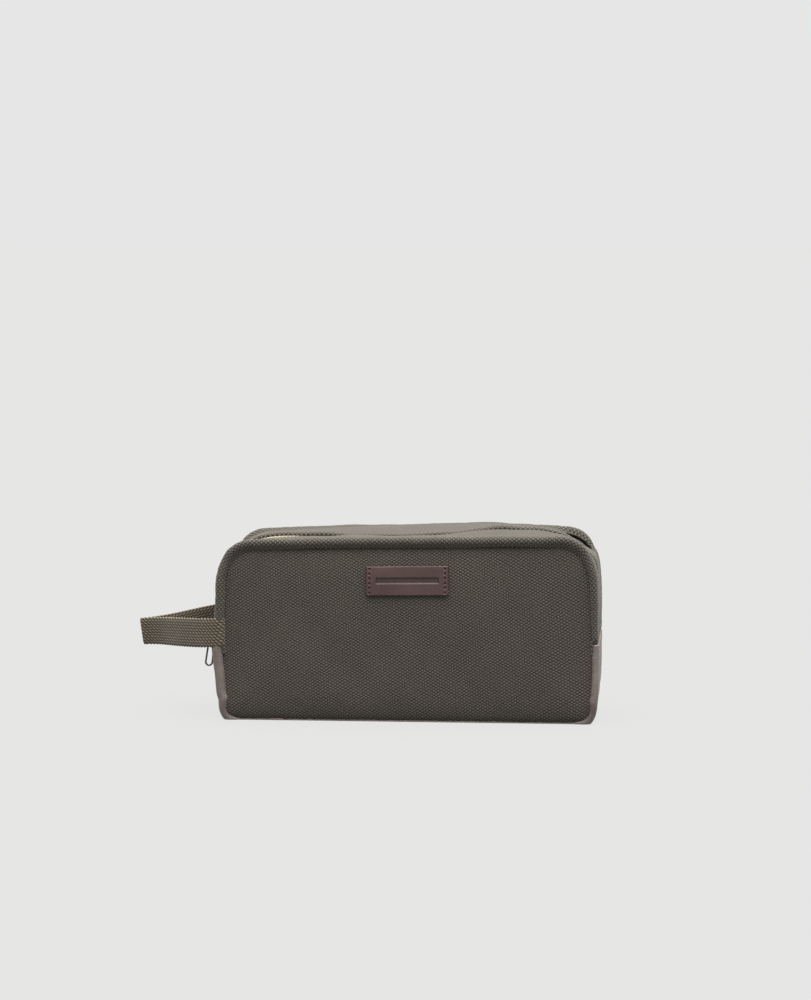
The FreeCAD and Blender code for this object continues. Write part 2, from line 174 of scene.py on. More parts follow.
def grid_normals(surface, wrap=False):
    """Unit normals of a grid of points, rows by columns by 3."""
    if wrap:
        du = np.roll(surface, -1, 0) - np.roll(surface, 1, 0)
    else:
        du = np.gradient(surface, axis=0)
    normal = np.cross(du, np.gradient(surface, axis=1))
    return normal / np.maximum(np.linalg.norm(normal, axis=2, keepdims=True), 1e-12)


def two_faced(name, outer, inner, weave, wrap=False, flip=False):
    """A closed sheet between two grids of points, joined round their rims."""
    rows, columns = outer.shape[:2]
    count = rows * columns
    last = columns - 1
    faces = grid_faces(rows, columns, wrap)
    faces += [f[::-1] for f in grid_faces(rows, columns, wrap, count)]
    for i in range(rows if wrap else rows - 1):
        k = (i + 1) % rows
        faces.append((k * columns, i * columns, count + i * columns, count + k * columns))
        faces.append((i * columns + last, k * columns + last,
                      count + k * columns + last, count + i * columns + last))
    if not wrap:
        for j in range(columns - 1):
            far = (rows - 1) * columns + j
            faces.append((j, j + 1, count + j + 1, count + j))
            faces.append((far + 1, far, count + far, count + far + 1))
    if flip:
        faces = [f[::-1] for f in faces]
    vertices = np.vstack([outer.reshape(-1, 3), inner.reshape(-1, 3)])
    return new_mesh(name, vertices, faces, np.vstack([weave.reshape(-1, 2)] * 2))


def cloth_shell(name, surface, weave, thick, wrap=False, flip=False):
    """A closed sheet of cloth. surface is its outer face, and thick reaches in from there;
    flip when rows cross columns points inwards."""
    normal = grid_normals(surface, wrap) * (-1 if flip else 1)
    return two_faced(name, surface, surface - normal * thick, weave, wrap, flip)


# ---------------------------------------------------------------- the bag's outline

RISE = TALL - TOP_RADIUS - LEATHER_TOP
BEND = TOP_RADIUS * math.pi / 2
RUN = 2 * (HALF - TOP_RADIUS)
ZIP_LENGTH = 2 * (RISE + BEND) + RUN
FALL = LEATHER_TOP - BASE_RADIUS
TURN = BASE_RADIUS * math.pi / 2
FLOOR = 2 * (HALF - BASE_RADIUS)
ROUND = ZIP_LENGTH + 2 * (FALL + TURN) + FLOOR


def outline(s):
    """Place (x, z) and outward normal (nx, nz) at s metres round the bag: up the left end from
    the leather's top edge, along the top, down the right end and back underneath."""
    s = np.mod(np.asarray(s, float), ROUND)
    x, z, angle = np.zeros_like(s), np.zeros_like(s), np.zeros_like(s)
    top, base = TOP_RADIUS, BASE_RADIUS
    stretches = [
        (RISE, None, (-HALF, LEATHER_TOP), (0, 1), math.pi),
        (BEND, top, (-HALF + top, TALL - top), None, math.pi),
        (RUN, None, (-HALF + top, TALL), (1, 0), math.pi / 2),
        (BEND, top, (HALF - top, TALL - top), None, math.pi / 2),
        (RISE + FALL, None, (HALF, TALL - top), (0, -1), 0.0),
        (TURN, base, (HALF - base, base), None, 0.0),
        (FLOOR, None, (HALF - base, 0), (-1, 0), -math.pi / 2),
        (TURN, base, (-HALF + base, base), None, -math.pi / 2),
        (FALL, None, (-HALF, base), (0, 1), -math.pi),
    ]
    done = 0.0
    for length, radius, place, way, start in stretches:
        here = (s >= done - 1e-12) & (s <= done + length + 1e-12)
        along = s[here] - done
        if radius is None:
            x[here] = place[0] + way[0] * along
            z[here] = place[1] + way[1] * along
            angle[here] = start
        else:
            angle[here] = start - along / radius
            x[here] = place[0] + radius * np.cos(angle[here])
            z[here] = place[1] + radius * np.sin(angle[here])
        done += length
    return x, z, np.cos(angle), np.sin(angle)


def lean(points):
    """The whole bag stands a little taller towards its right end, and its walls push out over the
    right end's leather."""
    out = np.array(points, float)
    x, z = out[..., 0], out[..., 2]
    push = through(z, [(0, 1.5), (15, 3.0), (30, 3.4), (60, 3.0), (85, 2.0), (110, 1.2), (126, 0.3)])
    push = push * smooth(x, 84 * MM, 126 * MM) * (1 - smooth(x, 127.5 * MM, 134 * MM))
    out[..., 0] = x + push
    out[..., 2] = z * (1 + LEAN * x)
    return out


# Heights of the top above the outline in mm, along the bag: at the front strip's crest and zip edge,
# and at the rear strip's zip edge and crest. A separate solver worked most of them out from the
# photo's top lines, and some were changed by hand after that.
FRONT_CREST = [(-128, -4.0), (-113, -3.4), (-89, -2.0), (-47, -1.2), (-5, -1.5), (37, -1.6), (63, -0.9),
               (92, -1.4), (108, -2.2), (122, -4.5), (130, -4.5)]
FRONT_EDGE = [(-128, -4.5), (-113, -4.8), (-102, -3.2), (-92, -2.4), (-78, -2.1), (-63, -1.5), (-49, -1.3),
              (-28, -1.7), (-7, -2.0), (14, -1.5), (35, -0.6), (49, 0.6), (63, 1.7), (77, 1.2), (91, 0.6),
              (105, -2.0), (120, -5.0), (130, -5.0)]
REAR_EDGE = [(-128, -3.5), (-113, -3.0), (-103, -0.9), (-92, 0.3), (-78, 0.1), (-64, -0.2), (-50, -0.5),
             (-29, -0.8), (-8, -0.9), (13, -0.4), (35, 0.5), (49, 1.8), (63, 2.9), (77, 2.3), (91, 1.6),
             (105, -1.6), (120, -6.0), (130, -6.0)]
REAR_CREST = [(-128, -4.5), (-117, -4.6), (-106, -3.2), (-95, -2.4), (-81, -1.6), (-67, -0.8), (-52, 0.0),
              (-31, 0.8), (-9, 0.9), (12, 1.0), (33, 1.4), (48, 2.1), (62, 1.5), (76, 0.2), (90, -1.4),
              (104, -4.0), (113, -7.5), (122, -9.5), (130, -9.0)]


def top_height(x, y):
    """How far the soft top stands above the outline, at x along the bag and y behind its middle."""
    front_edge, rear_edge = through(x, FRONT_EDGE), through(x, REAR_EDGE)
    front_crest, rear_crest = through(x, FRONT_CREST), through(x, REAR_CREST)
    return (front_crest + (front_edge - front_crest) * smooth(y, -27 * MM, -6 * MM)
            + (rear_edge - front_edge) * smooth(y, -6 * MM, 6 * MM)
            + (rear_crest - rear_edge) * smooth(y, 6 * MM, 27 * MM))


def zip_sway(x):
    """How far the zip's line wanders towards the back along the top."""
    return through(x, [(-125, 0), (-66, 0), (-42, -1), (-20, -2.5), (0, -3), (18, -2), (38, 0.5), (54, 2.5),
                       (70, 3.5), (88, 3), (108, 1.5), (125, 0)])


def zip_close(x):
    """How far each canvas edge closes in over the teeth."""
    return through(x, [(-84, 0), (-60, 2.6), (-42, 3.8), (0, 3.9), (36, 3.9), (54, 3.0), (72, 0.6),
                       (84, 0)])


def end_bulge(z, right):
    """How far an end stands out of the outline: full at the leather, drawn in at top and bottom."""
    left_end = through(z, [(0, -1.0), (6, -3.0), (12, -3.9), (20, -2.7), (30, -1.3), (46, -0.1), (56, -0.2),
                           (68, -0.7), (84, -1.3), (96, -2.2), (106, -3.6), (116, -3.6), (124, -1.5)])
    right_end = through(z, [(0, -2.5), (6, -4.0), (12, -3.8), (22, -2.6), (34, -2.0), (50, -1.9), (64, -2.0),
                            (84, -1.7), (96, -2.8), (106, -4.4), (116, -4.4), (124, -2.0)])
    return np.where(right, right_end, left_end)


def seam_depth(nx, nz):
    """How far inside the outline the seam lies: more at the ends than on the top."""
    return SEAM_INSET - 1.6 * MM * smooth(nz, 0.2, 0.9) - 4.7 * MM * smooth(-nz, 0.2, 0.9)


def shell(s, across, height, side, closing=0.0, seed=11):
    """A point of the gusset. across is measured in from the face's plane and height out from the
    outline; side is -1 in front and 1 behind. Seam, puffs, the top's heights and the zip's sway are
    all added here."""
    x0, z0, nx, nz = outline(s)
    on_top = smooth(nz, 0.3, 0.95)
    flat = smooth(-nz, 0.3, 0.9)
    on_end = smooth(np.abs(nx), 0.3, 0.95)
    near = 1 - smooth(across, 1.0 * MM, 6.5 * MM)
    crooked = 0.30 * MM * wander(s, 0 * s, 95 * MM, 3 + side)
    crooked = crooked + 0.12 * MM * wander(s, 0 * s, 16 * MM, 5 + side)
    height = height + near * (SEAM_INSET - seam_depth(nx, nz) + crooked)
    across = across + near * 4.0 * MM * flat
    crown = smooth(across, -1.0 * MM, 4.0 * MM)
    height = height + crown * on_top * top_height(x0, side * (DEEP - across))
    bulge = end_bulge(z0, x0 > 0)
    if side > 0:
        bulge = bulge - 2.6 * MM * (1 - smooth(z0, 14 * MM, 40 * MM)) * (x0 > 0)
    height = height + on_end * bulge * (1 - 0.35 * near)
    soft = wander(s, across, 46 * MM, seed) * 0.45 * MM + wander(s, across, 20 * MM, seed + 1) * 0.15 * MM
    height = height + soft * crown * (1 - 0.95 * flat)
    pucker = wander(s, 0 * s, 6.0 * MM, seed + 2) * 0.13 * MM
    height = height + pucker * np.exp(-across / (5 * MM)) * (1 - flat)
    share = smooth(across, 4 * MM, 34 * MM)
    edge = smooth(across, 22 * MM, 36 * MM)
    y = side * (DEEP - across - closing * edge * on_top * zip_close(x0)) + share * on_top * zip_sway(x0)
    return lean(np.stack([x0 + nx * height, y, z0 + nz * height], axis=-1))


def sweep(s, profile, count, side, closing=0.0, seed=11, extra=0.0, inward=0.0):
    """A gusset surface and its cloth coordinates, from a cross-section of (height, across) in mm."""
    curve = spline(profile, count) * MM
    height = np.repeat(curve[None, :, 0], len(s), 0) + extra
    across = np.repeat(curve[None, :, 1], len(s), 0) + inward
    rows = np.repeat(s[:, None], count, 1)
    surface = shell(rows, across, height, side, closing, seed)
    weave = np.stack([rows, np.repeat(lengths(curve)[None, :], len(s), 0)], axis=2)
    return surface, weave


def both_halves(front, rear, weave):
    """Joins a front and a rear gusset surface along the bag's middle."""
    front[:, -1] = (front[:, -1] + rear[:, -1]) / 2
    width = weave[0, -1, 1]
    behind = np.stack([weave[:, ::-1, 0], 2 * width - weave[:, ::-1, 1]], axis=2)[:, 1:]
    surface = np.concatenate([front, rear[:, ::-1][:, 1:]], axis=1)
    return surface, np.concatenate([weave, behind], axis=1)


# ---------------------------------------------------------------- gusset pieces

STRIP = [  # height, across: up out of the seam, over the crest and folded under at the zip
    (-5.35, 5.0), (-5.3, 3.4), (-5.25, 1.5), (-5.05, 0.4), (-4.45, -0.35), (-3.4, -0.65), (-2.1, -0.35),
    (-1.05, 0.6), (-0.35, 2.0), (0.05, 4.0), (0.3, 8.0), (0.3, 18.0), (0.25, 26.0), (0.0, 32.0),
    (-0.15, 35.2), (-0.45, 36.5), (-1.1, 37.0), (-1.75, 36.5), (-1.95, 35.0), (-2.0, 30.0),
]
BAND = [  # the same for half of the leather: from a seam to the bag's middle
    (-5.35, 5.0), (-5.3, 3.4), (-5.2, 1.7), (-4.85, 0.6), (-4.1, -0.1), (-3.0, -0.2), (-1.8, 0.3),
    (-0.8, 1.5), (-0.1, 3.6), (0.15, 6.5), (0.2, 14.0), (0.2, 28.0), (0.2, 42.0),
]
TUCK = 8 * MM  # how far the zip and its canvas run down behind the leather
TUCK_DEEP = 2.1 * MM  # how far behind its face the canvas runs there
TUCK_IN = 2.0 * MM  # and how far from the seam
LINING = 0.4 * MM
TAPE = 0.5 * MM


def zip_strip(name, side, seed):
    """A canvas strip from a seam to the zip, tucked behind the leather at both ends."""
    s = np.linspace(-TUCK, ZIP_LENGTH + TUCK, 330)
    past = np.maximum(-s, s - ZIP_LENGTH)
    tuck = smooth(past, -3.5 * MM, 0.5 * MM)[:, None]
    surface, weave = sweep(s, STRIP, 54, side, 1.0, seed, -TUCK_DEEP * tuck, TUCK_IN * tuck)
    return cloth_shell(name, surface, weave, CANVAS, flip=side < 0)


def leather_band():
    """The leather under the bag and up both ends; its top edge is folded and stands proud."""
    s = np.linspace(ZIP_LENGTH, ROUND - 1e-9, 330)
    edge = np.minimum(s - ZIP_LENGTH, ROUND - s)
    lip = 0.55 * MM * (1 - smooth(edge, 5.0 * MM, 9 * MM)) - 0.9 * MM * (1 - smooth(edge, 0.0, 1.1 * MM))
    front, weave = sweep(s, BAND, 42, -1, 0.0, 31, extra=lip[:, None])
    rear, _ = sweep(s, BAND, 42, 1, 0.0, 31, extra=lip[:, None])
    surface, weave = both_halves(front, rear, weave)
    surface[:, :, 2] = np.maximum(surface[:, :, 2], 0.02 * MM)
    return cloth_shell("leather_base", surface, weave, LEATHER, flip=True)


def tooth_drop(x, s):
    """How much lower the teeth lie where the canvas closes over them, and at the tucked ends."""
    past = np.maximum(-s, s - ZIP_LENGTH)
    return 0.45 * zip_close(x) + 0.9 * MM * smooth(past, -2 * MM, 2 * MM)


def zip_tape(name, side):
    """A zip tape, from the teeth to under the canvas strip."""
    profile = [(-2.35, 25.0), (-2.3, 29.0), (-2.25, 33.0), (-2.1, 37.0), (-2.0, 39.5), (-1.95, 40.8)]
    s = np.linspace(-TUCK, ZIP_LENGTH + TUCK, 300)
    drop = tooth_drop(outline(s)[0], s)
    surface, weave = sweep(s, profile, 16, side, 0.0, 71, extra=-drop[:, None])
    return cloth_shell(name, surface, weave, TAPE, flip=side < 0)


TOOTH_PITCH = 2.6 * MM


def zip_teeth(name, side):
    """One side's row of brass teeth, each a rounded block that hooks past the zip's middle."""
    first = 5.3 * MM + (TOOTH_PITCH / 2 if side > 0 else 0)
    count = int((ZIP_LENGTH - 2 * first) / TOOTH_PITCH)
    wide, tall = 0.52 * MM, 1.2 * MM
    shape, faces = [], []
    section = [(-3.2, 0.85, 0.72), (-1.6, 1.0, 0.95), (-0.6, 1.0, 1.0), (0.1, 1.0, 0.9), (0.6, 0.85, 0.55)]
    octagon = ((-1, -0.6), (-0.6, -1), (0.6, -1), (1, -0.6), (1, 0.6), (0.6, 1), (-0.6, 1), (-1, 0.6))
    for reach, narrow, low in section:
        for a, b in octagon:
            shape.append((wide * narrow * a, reach * MM, tall * low * b))
    for k in range(len(section) - 1):
        for j in range(8):
            i = (j + 1) % 8
            faces.append((8 * k + j, 8 * k + i, 8 * k + 8 + i, 8 * k + 8 + j))
    faces.append(tuple(range(7, -1, -1)))
    faces.append(tuple(8 * (len(section) - 1) + j for j in range(8)))
    shape = np.array(shape)
    corners, all_faces = [], []
    for index in range(count):
        s = first + index * TOOTH_PITCH
        near = np.array([s - 0.2 * MM, s + 0.2 * MM, s, s])
        across = np.array([42.0, 42.0, 41.5, 42.5]) * MM
        at = shell(near, across, -ZIP_INSET - tooth_drop(outline(near)[0], near), side, 0.0, 71)
        along = (at[1] - at[0]) / np.linalg.norm(at[1] - at[0])
        inward = (at[3] - at[2]) / np.linalg.norm(at[3] - at[2])
        up = np.cross(along, inward)
        turned = shape[:, :1] * along + shape[:, 1:2] * inward + shape[:, 2:3] * up
        corners.append((at[0] + at[1]) / 2 + turned)
        start = index * len(shape)
        all_faces += [tuple(start + i for i in f) for f in faces]
    return new_mesh(name, np.vstack(corners), all_faces)


def end_cloth(name, side):
    """Thin lining under a canvas strip."""
    profile = [(-3.6, 8.0), (-3.4, 12.0), (-3.2, 20.0), (-3.2, 30.0), (-3.3, 34.5), (-3.4, 37.0)]
    s = np.linspace(2 * MM, ZIP_LENGTH - 2 * MM, 240)
    drop = 0.9 * tooth_drop(outline(s)[0], s)
    surface, weave = sweep(s, profile, 24, side, 0.0, 83, extra=-drop[:, None])
    return cloth_shell(name, surface, weave, LINING, flip=side < 0)


def base_cloth():
    """Thin lining inside the leather."""
    profile = [(-3.6, 8.0), (-3.2, 12.0), (-3.0, 20.0), (-3.0, 42.0)]
    s = np.linspace(ZIP_LENGTH + 1 * MM, ROUND - 1 * MM, 240)
    front, weave = sweep(s, profile, 24, -1, 0.0, 87)
    rear, _ = sweep(s, profile, 24, 1, 0.0, 87)
    surface, weave = both_halves(front, rear, weave)
    return cloth_shell("base_lining_cloth", surface, weave, LINING, flip=True)


# ---------------------------------------------------------------- front and rear panels


def rounded_grid(inset, columns, rows):
    """A grid of (x, z) that fills the panel's rounded rectangle, its corners mapped to quarter discs."""
    def spacing(count):
        t = np.linspace(-1, 1, count)
        return np.sign(t) * (1 - (1 - np.abs(t)) ** 1.5)
    half = SEAM_HALF - inset
    low, high = SEAM_BASE + inset, SEAM_TOP - inset
    u = spacing(columns) * half
    v = (low + high) / 2 + spacing(rows) * (high - low) / 2
    x, z = np.meshgrid(u, v, indexing="ij")
    for radius, edge, way in ((SEAM_TOP_RADIUS - inset, high, 1), (SEAM_BASE_RADIUS - inset, low, -1)):
        for side in (-1, 1):
            a = (side * x - (half - radius)) / radius
            b = (way * (z - edge) + radius) / radius
            here = (a > 0) & (b > 0)
            ax, bz = a[here], b[here]
            x[here] = side * (half - radius + radius * ax * np.sqrt(1 - bz * bz / 2))
            z[here] = edge + way * (radius * bz * np.sqrt(1 - ax * ax / 2) - radius)
    return x, z


def edge_distance(x, z):
    """Distance in from the panel's seam."""
    middle = (SEAM_BASE + SEAM_TOP) / 2
    radius = np.where(z > middle, SEAM_TOP_RADIUS, SEAM_BASE_RADIUS)
    a = np.abs(x) - SEAM_HALF + radius
    b = np.abs(z - middle) - (SEAM_TOP - SEAM_BASE) / 2 + radius
    outside = np.hypot(np.maximum(a, 0), np.maximum(b, 0)) + np.minimum(np.maximum(a, b), 0)
    return np.maximum(radius - outside, 0)


EDGE_ROUND = 1.4 * MM


def curl_under(z):
    """How far a wall draws in just above the floor."""
    return 3.0 * MM * np.exp(-np.maximum(z - SEAM_BASE, 0) / (4.0 * MM))


def tilt_back(z):
    """How far a wall leans in just below its top seam."""
    return 1.5 * MM * np.exp(-np.maximum(SEAM_TOP - z, 0) / (7 * MM))


def panel_depth(x, z, seed):
    """How far behind the face's plane the panel lies: crowned, and turned in at its seam."""
    inside = edge_distance(x, z)
    crown = 2.3 * MM * (1 - np.exp(-inside / (20 * MM)))
    turn = EDGE_ROUND - np.minimum(inside, EDGE_ROUND)
    roll = EDGE_ROUND - np.sqrt(np.maximum(EDGE_ROUND ** 2 - turn ** 2, 0))
    dip = roll + 2.2 * MM * (1 - smooth(inside, 0, 0.35 * MM)) + 0.8 * MM * np.exp(-inside / (5 * MM))
    soft = wander(x, z, 80 * MM, seed) * 0.6 * MM + wander(x, z, 36 * MM, seed + 1) * 0.2 * MM
    pucker = wander(x + z, x - z, 6 * MM, seed + 2) * 0.13 * MM * np.exp(-inside / (6 * MM))
    soft = soft * smooth(inside, 2 * MM, 22 * MM)
    return 0.9 * MM + dip + curl_under(z) + tilt_back(z) - crown - soft + pucker


def wall_sheet(name, side, x, z, depth, thick):
    """A sheet of cloth over the places (x, z), at depth behind the face's plane."""
    surface = lean(np.stack([x, side * (DEEP - depth), np.maximum(z, 0.05 * MM)], axis=2))
    return cloth_shell(name, surface, np.stack([x, z], axis=2), thick, flip=side > 0)


def bag_panel(name, side, seed):
    """The canvas of a wall, a little past its seam."""
    x, z = rounded_grid(-0.3 * MM, 240, 124)
    return wall_sheet(name, side, x, z, panel_depth(x, z, seed), CANVAS)


def inner_depth(x, z):
    """How far behind the face's plane the layers inside a wall start."""
    crown = 1.9 * MM * (1 - np.exp(-edge_distance(x, z) / (20 * MM)))
    return 1.2 * MM + curl_under(z) + tilt_back(z) - crown


def inner_layer(name, side, inset, behind, thick):
    """A layer behind a panel, from seam to seam."""
    x, z = rounded_grid(inset, 90, 50)
    return wall_sheet(name, side, x, z, inner_depth(x, z) + behind, thick)


def wall_patch(name, side, low, high, behind, thick, slack, seed):
    """A rectangle of cloth on the inside of a wall."""
    x, z = np.meshgrid(np.linspace(low.x, high.x, 80), np.linspace(low.z, high.z, 24), indexing="ij")
    lift = slack * (0.5 + 0.5 * wander(x, z, 60 * MM, seed)) * smooth(z, low.z, low.z + 10 * MM)
    return wall_sheet(name, side, x, z, inner_depth(x, z) + behind + lift, thick)


def panel_loop(inset, count):
    """Points round the panel, clockwise from the front, inset from its seam."""
    corners = []
    for way_x, way_z, radius, start in (
        (-1, 1, SEAM_TOP_RADIUS, 180), (1, 1, SEAM_TOP_RADIUS, 90),
        (1, -1, SEAM_BASE_RADIUS, 0), (-1, -1, SEAM_BASE_RADIUS, -90),
    ):
        middle_x = way_x * (SEAM_HALF - radius)
        middle_z = SEAM_TOP - radius if way_z > 0 else SEAM_BASE + radius
        for angle in np.radians(np.linspace(start, start - 90, 24)):
            reach = radius - inset
            corners.append((middle_x + reach * math.cos(angle), middle_z + reach * math.sin(angle)))
    return evenly(np.array(corners + corners[:1]), count + 1)[:-1]


def seam_tape(name, side):
    """Bias binding round a wall's inside seam: a rounded fold, in section."""
    loop = panel_loop(3.2 * MM, 420)
    along = lengths(loop)
    half = [(0.6, 3.6), (0.9, 5.5), (0.7, 8.2)]
    section = spline(half + [(0.0, 9.2)] + [(-wide, deep) for wide, deep in reversed(half)], 22) * MM
    way = np.roll(loop, -1, 0) - np.roll(loop, 1, 0)
    outward = np.stack([-way[:, 1], way[:, 0]], axis=1)
    outward /= np.linalg.norm(outward, axis=1, keepdims=True)
    at = loop[:, None, :] + outward[:, None, :] * section[None, :, :1]
    ripple = 0.15 * MM * wander(along[:, None], 0 * section[None, :, 0], 9 * MM, 7)
    y = side * (DEEP - section[None, :, 1] + ripple)
    surface = lean(np.stack([at[:, :, 0], y, at[:, :, 1]], axis=2))
    weave = np.stack(np.broadcast_arrays(along[:, None], lengths(section)[None, :]), axis=2)
    return cloth_shell(name, surface, weave, 0.35 * MM, wrap=True, flip=side > 0)


# ---------------------------------------------------------------- webbing loop

STRAP_DROOP = math.tan(math.radians(5))
STRAP_ROOT = -SEAM_HALF
STRAP_MIDDLE = 62 * MM
STRAP_WIDTH = 20 * MM
STRAP_THICK = 1.7 * MM
RIB = 2.9 * MM
YARN = 2.0 * MM


def strap_path(count):
    """The loop's middle line from above, from the front seam round the tip to the rear seam."""
    tip = strap_low.x + 1.4 * MM
    front = [(STRAP_ROOT + 1.6 * MM, -DEEP + 5.5 * MM), (STRAP_ROOT + 1.0 * MM, -DEEP + 0.9 * MM),
             (STRAP_ROOT - 2.2 * MM, -DEEP - 0.95 * MM), (STRAP_ROOT - 8 * MM, -DEEP + 1.2 * MM),
             (STRAP_ROOT - 20 * MM, -0.78 * DEEP), (STRAP_ROOT - 34 * MM, -0.50 * DEEP),
             (STRAP_ROOT - 47 * MM, -0.21 * DEEP), (STRAP_ROOT - 56 * MM, -2.9 * MM),
             (tip + 2.6 * MM, -1.5 * MM), (tip + 0.5 * MM, -0.95 * MM)]
    rear = [(x, -y) for x, y in reversed(front)]
    return spline(front + [(tip, 0.0)] + rear, count)


def ribs(u, v):
    """Yarn humps of the webbing, 0 to 1, in slanted rows."""
    slant = np.abs(np.sin(math.pi * (u - v) / RIB))
    cross = np.abs(np.cos(math.pi * v / YARN))
    return np.sqrt(slant) * (0.45 + 0.55 * cross)


def droop(points):
    """The loop hangs down a little from its seam, and its tip turns slightly."""
    out = np.array(points)
    reach = np.maximum(STRAP_ROOT - out[..., 0], 0)
    tip = smooth(reach, 25 * MM, 64 * MM)
    high = out[..., 2] - STRAP_MIDDLE
    rear = 1.2 * MM * smooth(out[..., 1], 2 * MM, 36 * MM)
    out[..., 2] = STRAP_MIDDLE - reach * STRAP_DROOP + high * (1 - 0.07 * tip) + rear
    out[..., 0] -= high * 0.13 * tip
    return out


def webbing_loop():
    """Ribbed webbing with slanted rows of chunky yarn and scalloped edges, and its length."""
    count, columns = 560, 49
    path = strap_path(count)
    u = lengths(path)[:, None]
    v = np.linspace(-1, 1, columns)[None, :]
    tangent = np.gradient(path, axis=0)
    tangent /= np.linalg.norm(tangent, axis=1, keepdims=True)
    outward = np.stack([tangent[:, 1], -tangent[:, 0]], axis=1)
    scallop = 0.28 * MM * np.cos(2 * math.pi * u / RIB)
    z = STRAP_MIDDLE + v * (STRAP_WIDTH / 2 + scallop * np.abs(v) ** 6)
    z = z + 0.3 * MM * wander(u, 0 * v, 60 * MM, 5)
    body = 1 - np.abs(v) ** 8
    relief = 0.34 * MM * (ribs(u, v * STRAP_WIDTH / 2) - 0.5) * (0.3 + 0.7 * body)
    offset = STRAP_THICK / 2 * (0.35 + 0.65 * body) + relief
    faces_of = []
    for way in (1, -1):
        at = path[:, None, :] + way * outward[:, None, :] * offset[:, :, None]
        faces_of.append(np.stack([at[:, :, 0], at[:, :, 1], z], axis=2))
    loop = droop(np.concatenate([faces_of[0], faces_of[1][:, ::-1]], axis=1))
    across = np.concatenate([v[0], v[0][::-1]]) * STRAP_WIDTH / 2
    weave = np.stack(np.broadcast_arrays(u, across[None, :]), axis=2)
    rows, wide = loop.shape[:2]
    faces = []
    for i in range(rows - 1):
        for j in range(wide):
            k = (j + 1) % wide
            faces.append((i * wide + j, i * wide + k, (i + 1) * wide + k, (i + 1) * wide + j))
    faces.append(tuple(range(wide - 1, -1, -1)))
    faces.append(tuple((rows - 1) * wide + j for j in range(wide)))
    return new_mesh("webbing_loop", loop.reshape(-1, 3), faces, weave.reshape(-1, 2)), float(u[-1, 0])


# ---------------------------------------------------------------- label

LABEL_SHIFT = 1.5 * MM
LABEL_THICK = 1.9 * MM
BAR_HALF = (22.0 * MM, 2.3 * MM)  # the plain bar pressed into the label
LABEL_MIDDLE = (label_low.z + label_high.z) / 2
LABEL_HALF = ((label_high.x - label_low.x) / 2, (label_high.z - label_low.z) / 2)
PANEL_SEED = {-1: 51, 1: 61}


def stitch_holes():
    """Middles of the label's needle holes, from its own middle."""
    x = LABEL_HALF[0] - 2.3 * MM
    return [(side * x, (index - 2.5) * 3.3 * MM) for side in (-1, 1) for index in range(6)]


def label_patch():
    """A leather label on the panel's own curve: rounded rim, needle holes and a plain pressed bar."""
    x, z = np.meshgrid(np.linspace(-LABEL_HALF[0], LABEL_HALF[0], 232),
                       np.linspace(-LABEL_HALF[1], LABEL_HALF[1], 92), indexing="ij")
    corner = 1.2 * MM
    a = np.abs(x) - LABEL_HALF[0] + corner
    b = np.abs(z) - LABEL_HALF[1] + corner
    inside = corner - np.hypot(np.maximum(a, 0), np.maximum(b, 0)) - np.minimum(np.maximum(a, b), 0)
    rim = np.clip(inside / (0.5 * MM), 0, 1)
    height = LABEL_THICK * np.sqrt(rim * (2 - rim))
    bar = np.maximum(np.abs(x) - BAR_HALF[0], np.abs(z - 0.15 * MM) - BAR_HALF[1])
    height = height - 0.9 * MM * (1 - smooth(bar, -0.7 * MM, 0.0))
    for hole_x, hole_z in stitch_holes():
        gap = np.hypot(x - hole_x, (z - hole_z) * 0.8)
        height = height - 1.1 * MM * np.exp(-(gap / (0.62 * MM)) ** 4)
    back = -(DEEP - panel_depth(x + LABEL_SHIFT, z + LABEL_MIDDLE, PANEL_SEED[-1]))
    outer = lean(np.stack([x + LABEL_SHIFT, back - height, z + LABEL_MIDDLE], axis=2))
    inner = lean(np.stack([x + LABEL_SHIFT, back + 0.1 * MM, z + LABEL_MIDDLE], axis=2))
    return two_faced("label_patch", outer, inner, np.stack([x, z], axis=2))


def label_threads():
    """Short threads that dive in and out of the label's holes."""
    holes = stitch_holes()
    around, steps = 8, 12
    vertices, faces = [], []
    for first in range(0, len(holes), 2):
        a, b = np.array(holes[first]), np.array(holes[first + 1])
        start = len(vertices)
        for t in np.linspace(0, 1, steps):
            at = a + (b - a) * t
            panel = -(DEEP - panel_depth(at[0] + LABEL_SHIFT, at[1] + LABEL_MIDDLE, PANEL_SEED[-1]))
            y = float(panel) - LABEL_THICK + 0.12 * MM + 0.9 * MM * (2 * t - 1) ** 4
            for k in range(around):
                turn = 2 * math.pi * k / around
                vertices.append((at[0] + LABEL_SHIFT + 0.26 * MM * math.cos(turn),
                                 y + 0.2 * MM * math.sin(turn), at[1] + LABEL_MIDDLE))
        for i in range(steps - 1):
            for k in range(around):
                n = (k + 1) % around
                row = start + i * around
                faces.append((row + k, row + n, row + around + n, row + around + k))
        faces.append(tuple(start + k for k in range(around - 1, -1, -1)))
        faces.append(tuple(start + (steps - 1) * around + k for k in range(around)))
    return new_mesh("label_threads", lean(np.array(vertices)), faces)


# ---------------------------------------------------------------- materials


